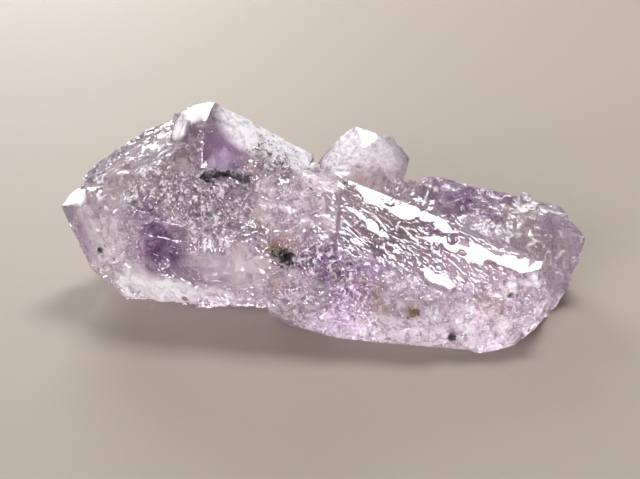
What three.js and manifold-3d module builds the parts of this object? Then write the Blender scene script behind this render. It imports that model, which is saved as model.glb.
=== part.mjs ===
// A cluster of pale amethyst crystals, grown together and broken from the wall of a pocket.
// Millimetres, +Z up. The cluster lies on its broken underside at z = 0. +X runs along it,
// +Y to its back, and the origin is under the middle of its outline.
import * as THREE from 'three';
import { ConvexGeometry } from 'three/addons/geometries/ConvexGeometry.js';
import { mergeVertices } from 'three/addons/utils/BufferGeometryUtils.js';
import Module from 'manifold-3d';

const wasm = await Module();
wasm.setup();

const SEED = 11;
const FAR = 200; // further out than any of the stone
const CRYSTAL_SIDES = 6;
const SHARD_CORNERS = 9;
const LEDGES = 110; // broken plates and chips over the whole stone
const LEDGE_WIDTHS = [2.2, 5.5];
const LEDGE_FLATNESS = 0.3; // a plate's thickness over its width
const CHIP_SHARE = 0.3; // of the ledges, those that are cut out and not added
const LEDGE_LEAN = 0.25; // how far a plate leans from the surface, over its own direction
const SHOULDER_DROPS = [0.68, 0.42]; // from tip to shoulder by turns, over a crystal's width
const PATCH_LENGTHS = [1.1, 1.9]; // a small crystal's length over its width
const PATCH_LEAN = 0.8;
const PATCH_ROOT = 0.6; // the share of a small crystal that is under the surface
const STEP_ROOT = 2; // how far a growth step's plate reaches into the crystal

// The main crystals and lumps, each by the corners of its faces.
const MASSES = {
  // clear crystal end that points left, with a bright chamfer on its top corner
  leftEnd: [
    [-30, 3, 12], [-28.4, 6.5, 12.9], [-28.5, 8.5, 6], [-26.6, 1.5, 4.6], [-23, 1, 1.2],
    [-21, -3.4, 8.5], [-20.5, -3.2, 13.5], [-26, 8, 15], [-23, 0.5, 15], [-21, 10, -2],
    [-14, -1, 2], [-12, 4, 16], [-12, 8, -2],
  ],
  // sloping shoulder above it, up to the peak
  leftCrown: [
    [-28, 6.5, 14.2], [-26, 8, 15.8], [-20.6, 9, 19.3], [-16.8, 8, 20.9], [-14.5, 1.5, 20.5],
    [-19.5, -1.4, 17], [-24.5, 2.4, 14.5], [-24, 12, 8], [-12, 13, 10], [-12, 0, 8],
    [-17, 12.5, 15],
  ],
  // smooth belly at the front left, which overhangs the table
  leftBelly: [
    [-22.5, 0.5, 2], [-18.5, -1, 1.6], [-13, -3, 2.8], [-9, -3, 2.8], [-5, -4.2, 2.4],
    [-21, -3.6, 7.5], [-13, -6.6, 8.4], [-5, -7.2, 7.6], [-19.5, -4, 11.9], [-13, -6.2, 10.8],
    [-7.5, -6.7, 12.4], [-5, -6.4, 12], [-20, 8, -2], [-2, 8, -2], [-6, 4, 14],
  ],
  // rough lump between the belly and the peak
  leftRough: [
    [-22, -1.4, 14.5], [-20, -4.2, 12.1], [-16, -5.6, 11.2], [-12, -6.2, 12.9], [-8, -6.2, 11.6],
    [-5, -5.4, 12.5], [-5, -2.5, 16.8],
    [-14, -2.2, 17.8], [-19.5, 0, 17.3], [-20, 6, 8], [-5, 6, 8],
  ],
  // the highest crystal: a white top face that slopes right, over a violet front face
  peak: [
    [-13.2, 4, 24.1], [-11.9, 4, 24.2], [-11.3, 6, 22.9], [-16.6, 5, 22.4], [-15.6, 3.4, 22.9],
    [-13, 0, 22.2], [-8.6, 1.2, 19.5],
    [-9.4, -1.8, 17], [-13.2, -1.8, 18], [-0.8, 8, 16.5], [-5.6, 1, 17.5], [-2, 3, 15.5],
    [-14, 10, 18], [-3, 12, 13], [-12, 11, 12], [-12, 0, 12], [-2, 3, 11],
  ],
  // narrow wedge against the peak's left side, with a bright face and a clear one
  peakShoulder: [
    [-16.6, 5, 22.4], [-15, 4.5, 23.1], [-16.8, 3, 19.9], [-15.5, 0.8, 20.4], [-13.5, -0.4, 20.1],
    [-13.2, 1.4, 22.5], [-14.8, 2, 22.8], [-14, 6, 17], [-17, 7, 18],
  ],
  // frosted splinter behind the middle, with a sharp corner at its right
  frosted: [
    [4.2, 9, 19.8], [2.6, 8.5, 18.8], [1.4, 9, 17.2], [0.2, 8.5, 16.1], [6.9, 9.6, 18.6],
    [8.5, 9, 18.4], [9.6, 8.5, 17.3], [10.6, 8.5, 16], [8.8, 7, 14.9], [6.4, 5, 15.4],
    [3.5, 4.5, 15.6], [0.6, 5, 15.4], [5.2, 6.2, 17.8], [3, 12, 17], [8, 12, 15.5],
    [9, 12, 12], [-1, 12, 13], [0, 4, 10], [8.5, 5, 9], [9, 13, 6], [0, 14, 6],
  ],
  // bumpy middle
  middle: [
    [-8.5, -2.2, 17], [-4, 1, 17.2], [0, 4, 16.2], [2.5, 2.2, 15.2], [1.8, -5, 13.2],
    [-2, -7.6, 11.6], [-6.4, -7.2, 8.8], [-7, -5.4, 3.8], [-9, -5, 14], [1.5, -8.8, 10],
    [2, 10, -2], [-10, 10, -2], [4, 10, 12],
  ],
  // rounded foot in front of the middle
  frontFoot: [
    [-6.4, -5, 3.6], [-5.8, -7.9, 7.8], [-3, -8.9, 9.8], [2, -9.4, 9.8], [-5.6, -4.2, 1.4],
    [-2.3, -3.6, -0.6], [3.4, -7.2, -0.8], [8, -10, 3.5], [-3.4, -7.8, 4.2], [4, 4, -2],
    [8, -10.4, 7],
  ],
  // long crystal at the front right: a broad upper face and a point at its right end
  rightCrystal: [
    [2.3, 2, 15.1], [24.3, -6, 8.7], [23.9, -7, 7.4], [0.8, -8.6, 10.2], [11.7, -11.8, 6.9],
    [24, -8, 6.4], [25.4, -6, 4.2], [24.4, -6.8, 2.2], [3.4, -7.2, -0.8], [8.7, -8.5, -0.8],
    [17.8, -10, -0.8], [22.1, -7.4, -0.8], [26, -1, -1], [25.5, 1, 4], [2, 9, -2],
    [24, 8, -2], [4, 8, 12.5], [20, 3, 8],
  ],
  // blunt face that juts from its lower front
  endFace: [
    [16, -12, 5.2], [19.6, -10.9, 6.5], [24.2, -7.6, 5.4], [24.4, -7, 2.6], [21.5, -9.4, 0.3],
    [17.4, -10.8, -0.4], [15.2, -11, 1.6], [12.6, -9, 2], [16, -6, 7], [22, -5, 4], [17, -4, -1],
  ],
  // flat crystal behind it
  backCrystal: [
    [13.2, 9, 13.6], [16.8, 9, 12.5], [28.6, 7, 10.2], [31.2, 4, 7.7], [29.4, 2, 2.6],
    [27, 0, -0.6], [18, -1, 8.8], [9, 3, 12.5], [15, 15, 8], [27, 13, 6],
    [30, 9, 3], [11, 14, -2], [26, 12, -2], [8, 12, 11], [28, 4, -2],
  ],
  // solid heart that the others grow from
  heart: [
    [-21, 4, 1], [-20, 7, 13], [-9, 0, 13], [-8, 11, 12], [3, 0, 12], [4, 11, 11],
    [18, 0, 7], [20, 9, 6], [-18, 2, 0.5], [-16, 11, 0.5], [18, -5, 0.5], [22, 9, 0.5],
  ],
  // broken back of the cluster
  rear: [
    [-20, 11, 12], [-9, 14.5, 12.5], [2, 15, 10], [-22, 12, 4], [-14, 15.5, 5],
    [3, 16, 5], [10, 15, 7], [-20, 10, -2], [-8, 14, -2], [8, 14, -2], [0, 6, 12],
  ],
};

// Single crystals large enough to be seen one by one: foot, the way they point, width, length.
const POINTS = [
  { foot: [-14, 9, 11], axis: [-0.45, 0.75, 0.5], width: 6.5, length: 7 },
  { foot: [-20, 8, 7], axis: [-0.8, 0.55, 0.1], width: 6, length: 8 },
  { foot: [-5, 10, 9], axis: [-0.1, 0.9, 0.35], width: 7, length: 7 },
  { foot: [4, 12, 6], axis: [0.2, 0.95, 0.15], width: 6, length: 5.4 },
  { foot: [12, 11, 6], axis: [0.35, 0.85, 0.3], width: 5.5, length: 6 },
  { foot: [-10, 11, 4], axis: [-0.2, 0.95, -0.1], width: 5, length: 6 },
  { foot: [20, 9, 6], axis: [0.75, 0.55, 0.15], width: 5, length: 7 },
  { foot: [12, 5, 11], axis: [0.3, 0.2, 0.9], width: 2.6, length: 4 },
];

// The right crystal's upper face, and the growth steps that stand on it: how far each rises,
// and its outline along the ridge and down the face.
const FACE = { from: [2.3, 2, 15.1], along: [22, -8, -6.4], out: [0.1, -0.43, 0.9] };
const STEPS = [
  { rise: 0.55, outline: [[0.8, -0.5], [9.5, -0.5], [9.6, 0.4], [7.7, 0.7], [5.4, 1], [0.9, 0.7]] },
  { rise: 0.35, outline: [[-0.3, 0.5], [9.7, -0.2], [10.4, 1.5], [9, 2.4], [6.5, 2.3], [2, 1.8]] },
  { rise: 0.3, outline: [[1.1, 3.2], [2.7, 3.2], [4.9, 4.1], [8, 5.9], [6.6, 6.3], [1.8, 4.2]] },
  { rise: 0.3, outline: [[10.1, -0.4], [12.3, -0.2], [14.6, 1], [13.6, 2], [10.9, 1.4]] },
  { rise: 0.3, outline: [[12, 2.4], [15.3, 1.6], [20.3, 2.6], [18.2, 3.5], [14.7, 3.6]] },
  { rise: 0.35, outline: [[11.9, 6.9], [14.1, 7.8], [17.1, 8.2], [16.8, 9.1], [12.7, 8]] },
];

// Rough patches of small crystals: middle, the way they face, half-width and half-height,
// how many, and the range of their widths.
const PATCHES = [
  { at: [-15.5, -4, 15], facing: [0, -0.85, 0.5], reach: [6.5, 3], count: 26, widths: [0.8, 1.8] },
  { at: [-6, 1.5, 18], facing: [0.2, -0.6, 0.8], reach: [3, 2], count: 10, widths: [0.7, 1.3] },
  { at: [-4, -4, 13], facing: [0, -0.8, 0.6], reach: [5, 4.5], count: 18, widths: [1.4, 3] },
  { at: [10.8, 7, 14], facing: [0.2, -0.3, 0.9], reach: [1.8, 1.6], count: 8, widths: [0.8, 1.5] },
  { at: [2, -9, 8], facing: [0, -0.9, 0.4], reach: [4.5, 2.2], count: 14, widths: [0.9, 1.8] },
  { at: [17, -10, 5], facing: [0.2, -0.9, 0.4], reach: [7, 3], count: 10, widths: [1.2, 2.6] },
  { at: [-8, 13, 8], facing: [0, 1, 0.2], reach: [13, 5], count: 18, widths: [1.6, 3.6] },
  { at: [18, 12, 5], facing: [0.2, 1, 0.2], reach: [9, 4], count: 10, widths: [1.6, 3.2] },
];

// Clean faces that keep clear of broken plates: middle and reach.
const CLEAN = [
  { at: [6, -2.5, 12.8], reach: 5.5 },
  { at: [13, -5, 10.5], reach: 6 },
  { at: [20, -6, 8.5], reach: 5 },
  { at: [-8, 3, 20], reach: 6 },
  { at: [-26, 1, 8], reach: 5.5 },
  { at: [-12, -6, 6.5], reach: 5.5 },
  { at: [6, 7, 17], reach: 5 },
  { at: [23, 6, 10.5], reach: 5 },
];

// Hollows between the crystals, and pits where grains of other rock sit: middle and size.
const HOLLOWS = [
  { at: [-12.6, -2.6, 17.2], size: [4, 2.4, 1.6] },
  { at: [-9.6, -2.4, 17], size: [3, 2.2, 1.4] },
  { at: [-3.8, -8, 10.6], size: [2.8, 2.2, 2] },
  { at: [10.2, -11.6, 5], size: [1.8, 1.6, 1.8] },
  { at: [14.4, -11, 2.2], size: [1.8, 1.6, 1.2] },
  { at: [-25.6, -0.2, 7.6], size: [1.4, 1.4, 1.6] },
  { at: [5.5, -10.4, 7.6], size: [5, 2.4, 1.4] },
];

// Notches with two flat walls that meet in an inner edge, by their corners.
const NOTCHES = [
  [[-21, -8, 14], [-14, -8, 14.4], [-13.6, -8, 9.6], [-19, -8, 8.4], [-19.5, -3, 12.4], [-14.8, -4, 12.2]],
  [[-14, -6, 18.3], [-7, -6, 18], [-7, -6, 16.3], [-14, -6, 16.2], [-12.6, -0.4, 17.6], [-8.2, 0, 17.2]],
];

// A repeatable row of numbers from 0 to 1.
let state = SEED;
function random() {
  state = (state + 0x6d2b79f5) | 0;
  let mixed = Math.imul(state ^ (state >>> 15), 1 | state);
  mixed = (mixed + Math.imul(mixed ^ (mixed >>> 7), 61 | mixed)) ^ mixed;
  return ((mixed ^ (mixed >>> 14)) >>> 0) / 4294967296;
}
const between = (low, high) => low + (high - low) * random();
const vector = ([x, y, z]) => new THREE.Vector3(x, y, z);
const scatter = () => new THREE.Vector3(between(-1, 1), between(-1, 1), between(-1, 1));

// A closed geometry as a solid for joining and cutting.
function solidOf(geometry) {
  const bare = geometry.clone();
  bare.deleteAttribute('normal');
  bare.deleteAttribute('uv');
  const merged = mergeVertices(bare, 1e-4);
  return new wasm.Manifold(new wasm.Mesh({
    numProp: 3,
    vertProperties: new Float32Array(merged.attributes.position.array),
    triVerts: new Uint32Array(merged.index.array),
  }));
}

function geometryOf(solid) {
  const mesh = solid.getMesh();
  const geometry = new THREE.BufferGeometry();
  geometry.setAttribute('position', new THREE.BufferAttribute(mesh.vertProperties, 3));
  geometry.setIndex(new THREE.BufferAttribute(mesh.triVerts, 1));
  return geometry;
}

const join = (solids) => wasm.Manifold.union(solids);
const lump = (corners) => solidOf(new ConvexGeometry(corners.map(vector)));

// A quartz crystal: six sides under a point whose faces are steep and shallow by turns.
function crystal(width, length) {
  const corners = [new THREE.Vector3(width * between(-0.1, 0.1), 0, length)];
  for (let side = 0; side < CRYSTAL_SIDES; side += 1) {
    const turn = (side / CRYSTAL_SIDES) * Math.PI * 2;
    const across = vector([Math.cos(turn), Math.sin(turn), 0]).multiplyScalar(width / 2);
    const shoulder = length - width * SHOULDER_DROPS[side % 2];
    corners.push(across.clone(), across.setZ(Math.max(shoulder, 0.1 * length)));
  }
  return new ConvexGeometry(corners);
}

// A broken piece with flat faces: corners thrown on a ball, pressed to a size.
function shard(size) {
  const corners = [];
  for (let corner = 0; corner < SHARD_CORNERS; corner += 1) {
    corners.push(scatter().normalize().multiply(vector(size)).multiplyScalar(0.5));
  }
  return new ConvexGeometry(corners);
}

// Turns a geometry's +Z along an axis, with a chance spin about it, and moves it to a point.
function stand(geometry, axis, point) {
  const spin = new THREE.Quaternion().setFromAxisAngle(vector([0, 0, 1]), between(0, Math.PI));
  const turn = new THREE.Quaternion().setFromUnitVectors(vector([0, 0, 1]), axis.normalize());
  geometry.applyQuaternion(turn.multiply(spin));
  return geometry.translate(point.x, point.y, point.z);
}

// Where a line that comes in against `facing`, through `aim`, first meets the stone.
function surface(stone, aim, facing) {
  const from = aim.clone().addScaledVector(facing, FAR);
  const ray = new THREE.Raycaster(from, facing.clone().negate());
  const hit = ray.intersectObject(stone)[0];
  return hit && { point: hit.point, normal: hit.face.normal };
}

function growthSteps() {
  const along = vector(FACE.along).normalize();
  const up = new THREE.Vector3().crossVectors(vector(FACE.out), along).normalize();
  const out = new THREE.Vector3().crossVectors(along, up);
  const frame = new THREE.Matrix4().makeBasis(along, up, out).setPosition(vector(FACE.from));
  return STEPS.map(({ rise, outline }) => {
    const shape = new THREE.Shape(outline.map(([x, y]) => new THREE.Vector2(x, -y)));
    const plate = new THREE.ExtrudeGeometry(shape, { depth: rise + STEP_ROOT, bevelEnabled: false });
    plate.translate(0, 0, -STEP_ROOT);
    return solidOf(plate.applyMatrix4(frame));
  });
}

function singleCrystals() {
  return POINTS.map(({ foot, axis, width, length }) => (
    solidOf(stand(crystal(width, length), vector(axis), vector(foot)))
  ));
}

// Small crystals over a rough patch, each rooted in the surface that it meets.
function patch(stone, { at, facing, reach, count, widths }) {
  const out = vector(facing).normalize();
  const across = new THREE.Vector3().crossVectors(vector([0, 0, 1]), out).normalize();
  const up = new THREE.Vector3().crossVectors(out, across);
  const grown = [];
  for (let number = 0; number < count; number += 1) {
    const turn = between(0, 2 * Math.PI);
    const away = Math.sqrt(random());
    const aim = vector(at)
      .addScaledVector(across, Math.cos(turn) * away * reach[0])
      .addScaledVector(up, Math.sin(turn) * away * reach[1]);
    const width = between(...widths);
    const root = surface(stone, aim, out);
    const lean = scatter().multiplyScalar(PATCH_LEAN);
    if (root) {
      const length = width * between(...PATCH_LENGTHS);
      const axis = root.normal.clone().add(lean);
      const foot = root.point.addScaledVector(axis.clone().normalize(), -PATCH_ROOT * length);
      grown.push(solidOf(stand(crystal(width, length), axis, foot)));
    }
  }
  return grown;
}

// Flat broken plates, and chips of the same form, spread evenly over the stone.
function ledges(stone) {
  const plates = [];
  const chips = [];
  for (let number = 0; number < LEDGES; number += 1) {
    const facing = scatter().normalize();
    const aim = vector([between(-27, 28), between(-2, 7), between(3, 12)]);
    const width = between(...LEDGE_WIDTHS);
    const form = shard([width, width * between(0.5, 1), width * LEDGE_FLATNESS]);
    const lean = scatter().multiplyScalar(LEDGE_LEAN);
    const cut = random() < CHIP_SHARE;
    const root = facing.z > -0.3 && surface(stone, aim, facing);
    const clean = root && CLEAN.some(({ at, reach }) => vector(at).distanceTo(root.point) < reach);
    if (root && !clean) {
      const piece = solidOf(stand(form, root.normal.clone().add(lean), root.point));
      (cut ? chips : plates).push(piece);
    }
  }
  return { plates, chips };
}

function hollows() {
  const pits = HOLLOWS.map(({ at, size }) => solidOf(shard(size).translate(...at)));
  return [...pits, ...NOTCHES.map(lump)];
}

const rough = new THREE.Mesh(geometryOf(join([
  ...Object.values(MASSES).map(lump),
  ...singleCrystals(),
])));
const { plates, chips } = ledges(rough);
const ground = solidOf(new THREE.BoxGeometry(FAR, FAR, FAR).translate(0, 0, -FAR / 2));
const grown = join([
  solidOf(rough.geometry),
  ...plates,
  ...growthSteps(),
  ...PATCHES.flatMap((where) => patch(rough, where)),
]);
const cut = grown.subtract(join([...chips, ...hollows(), ground]));
// The outermost surface alone, so that no gap between the crystals is sealed inside.
const whole = cut.decompose().reduce((most, next) => (next.volume() > most.volume() ? next : most));

const geometry = geometryOf(whole);
geometry.computeBoundingBox();
const { min, max } = geometry.boundingBox;
geometry.translate(-(min.x + max.x) / 2, -(min.y + max.y) / 2, -min.z);

const amethyst = new THREE.MeshStandardMaterial({ color: 0xcdbcd8, roughness: 0.15, metalness: 0 });
const mesh = new THREE.Mesh(geometry, amethyst);
mesh.name = 'amethyst_cluster';
const group = new THREE.Group();
group.add(mesh);

export default group;
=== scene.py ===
"""The looks of a cluster of pale amethyst crystals: its fine surface, finish, light and camera.

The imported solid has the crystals, lumps, growth steps and pits. This script copies it, grows small
crystals and chips on the copy, roughens the broken faces, and scatters grains of darker minerals.
Lengths are in millimetres, and meshes are scaled to metres as they are made. Each noise has a channel, a
whole number that sets its pattern.
"""

import math

import bmesh
import bpy
import numpy as np
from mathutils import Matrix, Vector
from mathutils.bvhtree import BVHTree

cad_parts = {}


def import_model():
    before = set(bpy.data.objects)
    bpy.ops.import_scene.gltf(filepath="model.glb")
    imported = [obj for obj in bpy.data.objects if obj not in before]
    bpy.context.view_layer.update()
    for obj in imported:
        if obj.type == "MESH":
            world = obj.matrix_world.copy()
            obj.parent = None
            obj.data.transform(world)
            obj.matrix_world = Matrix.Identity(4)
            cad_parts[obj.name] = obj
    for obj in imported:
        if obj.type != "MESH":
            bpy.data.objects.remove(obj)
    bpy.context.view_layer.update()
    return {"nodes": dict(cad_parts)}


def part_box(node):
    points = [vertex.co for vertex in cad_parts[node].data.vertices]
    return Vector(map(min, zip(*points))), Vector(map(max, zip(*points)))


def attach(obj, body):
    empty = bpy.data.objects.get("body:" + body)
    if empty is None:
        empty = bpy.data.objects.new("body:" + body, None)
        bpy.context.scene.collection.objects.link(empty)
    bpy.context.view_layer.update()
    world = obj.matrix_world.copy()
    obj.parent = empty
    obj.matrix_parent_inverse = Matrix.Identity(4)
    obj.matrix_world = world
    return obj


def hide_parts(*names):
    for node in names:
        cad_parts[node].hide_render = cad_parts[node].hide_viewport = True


MM = 0.001
NODE = "amethyst_cluster"
SEED = 5

# Camera: the photo's frame, and a long lens that looks down on the stone.
PHOTO_SIZE = (640, 479)
LENS = 70
SENSOR = 36
CAMERA_ELEVATION = math.radians(22)
CAMERA_DISTANCE = 142.2
CAMERA_TARGET = Vector((-0.6, -2.58, 9))
FOCAL_PIXELS = PHOTO_SIZE[0] * LENS / SENSOR

# Light: a lamp that the upper growth face mirrors, a large pale fill, a weak lamp behind and a dim room.
LAMPS_AIM = Vector((0, 0, 8))
KEY_DIRECTION = Vector((0.22, 0.28, 0.93)).normalized()
KEY_DISTANCE = 500
KEY_SIZE = 190
KEY_POWER = 2.1
FILL_FROM = Vector((-550, -1075, 375))
FILL_SIZE = 650
FILL_POWER = 22
BACK_FROM = Vector((-140, 450, 190))
BACK_SIZE = 230
BACK_POWER = 1.7
ROOM_DIM = (0.09, 0.09, 0.11, 1)
ROOM_BRIGHT = (0.75, 0.73, 0.72, 1)
ROOM_BRIGHT_FROM = Vector((-0.15, 0.62, 0.77)).normalized()
ROOM_EDGE = (0.15, 0.95)
FLOOR_COLOUR = (0.25, 0.211, 0.176, 1)
FLOOR_ROUGHNESS = 0.75
FLOOR_REACH = 1500
FLOOR_DEPTH = 0.02

# The fine surface's mesh.
VOXEL = 0.16
MOST_TRIANGLES = 190000
SHARP_ANGLE = math.radians(24)

# Small crystals and chips: how many places are tried, how wide they are, and how long for their width.
CHIPS = 5200
CHIP_WIDTH = (0.35, 1.0)
CHIP_LENGTH = (0.3, 0.8)
CRYSTAL_LENGTH = (0.9, 1.7)
POINTED_SHARE = 0.45
CHIP_LEAN = 0.6

# The broken surface's flats and crumbs, its smooth faces' swell and its satin faces' low steps: how wide
# each is, and how high.
BLOCK_SIZE = 3.0
BLOCK_HEIGHT = 0.34
CELL_SIZE = 1.5
CELL_HEIGHT = 0.17
CRUMB_SIZE = 0.5
CRUMB_HEIGHT = 0.12
SWELL_SIZE = 3.0
SWELL_HEIGHT = 0.10
STEP_STRETCH = (0.45, 1, 1)
STEP_NOISES = ((1.7, 26), (2.6, 24))
STEP_HEIGHT = 0.11

# The right crystal's upper face: a point on its ridge, the way the ridge runs, and the way it faces.
FACE_POINT = np.array((1.7, -0.58, 15.1))
FACE_ALONG = np.array((22, -8, -6.4))
FACE_OUT = np.array((0.1, -0.43, 0.9))
FACE_LENGTH = 24
FACE_FALL = 9.6
# Where its shape and its polish begin, are full, start to fade and end, along the ridge, down the face
# and out from it.
SHAPED_RUN = (-2, -0.8, FACE_LENGTH + 0.5, FACE_LENGTH + 1.5)
SHAPED_FALL = (-2.4, -1.8, FACE_FALL - 0.8, FACE_FALL)
POLISHED_RUN = (-1, 0.3, FACE_LENGTH, FACE_LENGTH + 1)
POLISHED_FALL = (-1.2, -0.8, FACE_FALL - 0.8, FACE_FALL)
POLISHED_HEIGHT = (-0.6, -0.3, 0.9, 1.2)
# The fine strokes on it: how they are drawn out along the ridge, how far they slant from it, and how
# high they are.
STROKE_STRETCH = 0.2
STROKE_SLANT = 0.36
STROKE_HEIGHT = 0.045
# Its flat terraces, each by the pixels of its outline, and how far one may move to lie flat.
TERRACES = [
    [
        (334, 186), (350, 179), (385, 191), (423, 206), (424, 220), (402, 223), (386, 211), (366, 205),
        (350, 194),
    ],
    [
        (336, 204), (349, 206), (360, 212), (376, 222), (387, 233), (390, 239), (381, 236), (370, 230),
        (364, 222), (350, 213),
    ],
    [(420, 212), (430, 214), (450, 226), (456, 236), (446, 235), (433, 229), (420, 222)],
    [
        (418, 237), (432, 235), (455, 236), (466, 240), (478, 246), (500, 252), (522, 258), (541, 261),
        (538, 278), (530, 275), (518, 272), (504, 266), (489, 260), (482, 266), (473, 267), (465, 260),
        (453, 252), (442, 245), (427, 241),
    ],
    [(415, 262), (421, 264), (433, 271), (446, 278), (456, 288), (446, 290), (433, 284), (425, 278)],
]
TERRACE_SHIFT = 0.5
TERRACE_LIFT = 0.05

# Where the stone is smooth, rough, milky or coloured, as (pixel x, pixel y, radius, strength).
SMOOTH = [
    (195, 280, 4, 1), (150, 285, 4, 1), (235, 272, 3.4, 1), (195, 268, 2.6, 1), (245, 264, 2.8, 1),
    (222, 155, 2.6, 1), (250, 125, 5, 1), (110, 215, 3.2, 0.7), (74, 225, 2.6, 0.8), (160, 240, 2.6, 1),
    (365, 150, 5, 1), (395, 160, 3, 1), (335, 150, 2.5, 1), (185, 130, 1.6, 1),
]
GRANULAR = [
    (150, 190, 3.6, 1), (190, 195, 4.2, 1), (225, 205, 3, 1), (270, 160, 2.4, 1), (320, 258, 2.8, 1),
    (345, 278, 3, 1), (300, 295, 2.4, 1), (350, 305, 2.6, 1), (405, 285, 2.2, 1), (460, 300, 2.2, 1),
    (520, 296, 2.4, 1), (205, 243, 1.8, 1), (228, 240, 1.8, 1), (300, 325, 2.4, 0.8),
    (340, 333, 2.6, 0.8), (385, 338, 2.6, 0.8), (430, 338, 2.6, 0.8), (475, 340, 2.4, 0.8),
    (500, 322, 2.4, 0.8), (525, 325, 2, 0.8),
]
# Where no small crystals or chips grow.
BARE = [
    (140, 160, 4.5, 1), (110, 180, 4, 1), (85, 190, 2.5, 1), (470, 187, 3.5, 1), (510, 195, 3.5, 1),
    (545, 205, 3.5, 1), (572, 240, 3.5, 1), (130, 295, 2.5, 1), (400, 315, 2.4, 1), (440, 318, 2.2, 1),
    (82, 250, 2.5, 1), (90, 272, 2.5, 1), (105, 288, 2.5, 1), (355, 132, 2.2, 1), (385, 140, 2.2, 1),
    (185, 130, 2, 1), (72, 240, 2.4, 1), (290, 140, 2.4, 1), (155, 133, 3, 1), (133, 145, 3, 1),
    (535, 210, 3, 1), (480, 222, 3, 1),
]
# Where the surface has a satin sheen, low steps and calm faces.
SATIN = [
    (140, 160, 4, 1), (110, 180, 3.5, 1), (165, 140, 3, 1), (470, 195, 4.5, 1), (515, 205, 4.5, 1),
    (550, 215, 4, 1), (440, 195, 3, 1), (565, 255, 4, 1), (480, 224, 3, 1), (510, 232, 3, 1),
    (540, 240, 3, 1),
]
MILKY = [
    (466, 307, 0.4, 0.9), (474, 304, 0.4, 0.9), (482, 301, 0.4, 0.9), (490, 298, 0.4, 0.9),
    (498, 296, 0.45, 0.9), (507, 293, 0.6, 0.9), (517, 288, 0.9, 0.9), (528, 284, 1.1, 0.9),
    (538, 281, 1.0, 0.9), (498, 326, 1.3, 0.6), (352, 145, 3.2, 0.62), (380, 155, 3, 0.55),
    (318, 178, 2.4, 0.6), (330, 165, 2.2, 0.6), (305, 172, 1.6, 0.6),
]
VIOLET = [
    (222, 155, 2.6, 0.7), (162, 245, 3.0, 1), (148, 215, 2.0, 0.9), (328, 262, 2.8, 1),
    (345, 285, 2.4, 0.8), (250, 235, 1.6, 0.5), (470, 198, 4.8, 0.7), (438, 232, 2.0, 0.5),
    (80, 240, 2.4, 0.5), (375, 268, 2.0, 0.6), (330, 325, 3.0, 0.4), (545, 225, 1.6, 0.6),
]
NIGHT = [
    (152, 225, 1.3, 0.7), (165, 248, 1.9, 0.9), (178, 255, 1.3, 0.8), (325, 258, 1.9, 0.9),
    (340, 268, 1.0, 0.6), (458, 200, 2.6, 0.6), (480, 208, 2.2, 0.5), (222, 160, 1.2, 0.4),
]
GREY = [
    (160, 185, 3.2, 0.8), (205, 195, 3.4, 0.8), (240, 195, 2.6, 0.6), (100, 215, 2.4, 0.3),
    (480, 210, 4.5, 0.9), (440, 200, 3, 0.8), (520, 225, 4, 0.6), (190, 130, 1.4, 0.8),
    (280, 165, 2.2, 0.6),
]
BROWN = [
    (375, 300, 2.0, 0.9), (494, 308, 1.8, 1), (120, 175, 2.8, 0.5), (420, 245, 3.2, 0.7),
    (370, 230, 2.4, 0.7), (530, 228, 3.6, 0.7), (500, 190, 2.5, 0.5), (485, 272, 2.2, 0.6),
    (258, 228, 1.2, 0.7), (272, 285, 1.1, 1), (240, 275, 2.4, 0.3), (282, 252, 1.9, 0.9),
    (408, 308, 1.0, 0.9), (413, 315, 1.0, 0.9), (400, 225, 2.4, 0.5), (450, 262, 2.4, 0.5),
]
# Where dark earth fills the gaps and pits; the near black there is partly painted shade.
DARK = [
    (206, 179, 0.6, 1), (212, 176, 0.65, 1), (219, 174, 0.6, 1), (227, 175, 0.55, 1), (235, 177, 0.6, 1),
    (241, 178, 0.6, 1), (246, 180, 0.95, 1), (278, 257, 0.6, 1), (285, 259, 0.9, 1), (292, 258, 0.6, 1),
    (275, 250, 0.45, 0.8), (417, 314, 0.5, 1), (451, 337, 0.55, 1), (457, 335, 0.4, 1),
    (99, 251, 0.5, 1), (104, 246, 0.35, 1), (262, 247, 0.4, 0.8), (260, 238, 0.3, 0.7),
    (120, 180, 0.5, 0.7), (206, 214, 0.5, 0.8), (210, 218, 0.4, 0.8), (150, 183, 0.4, 0.6),
    (320, 284, 0.6, 0.7), (350, 262, 0.5, 0.8), (312, 262, 0.45, 0.8), (335, 275, 0.5, 0.8),
]
# Where light scattered by cracks inside makes the stone glow: it is clouded there, and its colour painted
# whiter as a painted glow.
GLOWING = [
    (300, 320, 4, 0.6), (340, 330, 4, 0.7), (385, 335, 4, 0.8), (430, 330, 4, 0.8), (475, 335, 3.5, 1),
    (515, 325, 3, 1), (400, 295, 3, 0.4), (450, 300, 3, 0.4), (330, 290, 3, 0.3), (290, 200, 4, 0.6),
    (225, 165, 2, 0.5), (240, 272, 4, 0.4), (140, 285, 4, 0.6), (320, 215, 3.4, 0.5),
    (100, 262, 3, 0.5), (105, 232, 4.5, 0.45), (130, 160, 4, 0.25),
]
# Whole faces painted white: those that face as the stone does at each of these pixels. Some are frosted; the
# small upper faces carry a painted highlight, and the faces underneath a painted glow.
FROSTED_AND_LIT_FACES = [
    (255, 125, 5, 0.9), (285, 148, 4, 0.9), (200, 107, 2.4, 1), (180, 128, 1.6, 0.8), (72, 200, 2.2, 1),
    (175, 296, 3.4, 0.85), (140, 290, 3, 0.8), (215, 298, 2.4, 0.6),
]
# The zones that the fine surface's shape follows, and those that its finish follows.
SHAPING = {"smooth": SMOOTH, "granular": GRANULAR, "bare": BARE, "satin": SATIN}
FINISH = {
    "smooth": SMOOTH, "granular": GRANULAR, "satin": SATIN, "milky": MILKY, "violet": VIOLET,
    "night": NIGHT, "grey": GREY, "brown": BROWN, "dark": DARK, "glow": GLOWING,
}
# How soft a zone's edge is, as a share of its radius.
SHAPE_EDGE = 0.45
FINISH_EDGE = 0.55
WHITE_EDGE = 0.3
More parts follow.
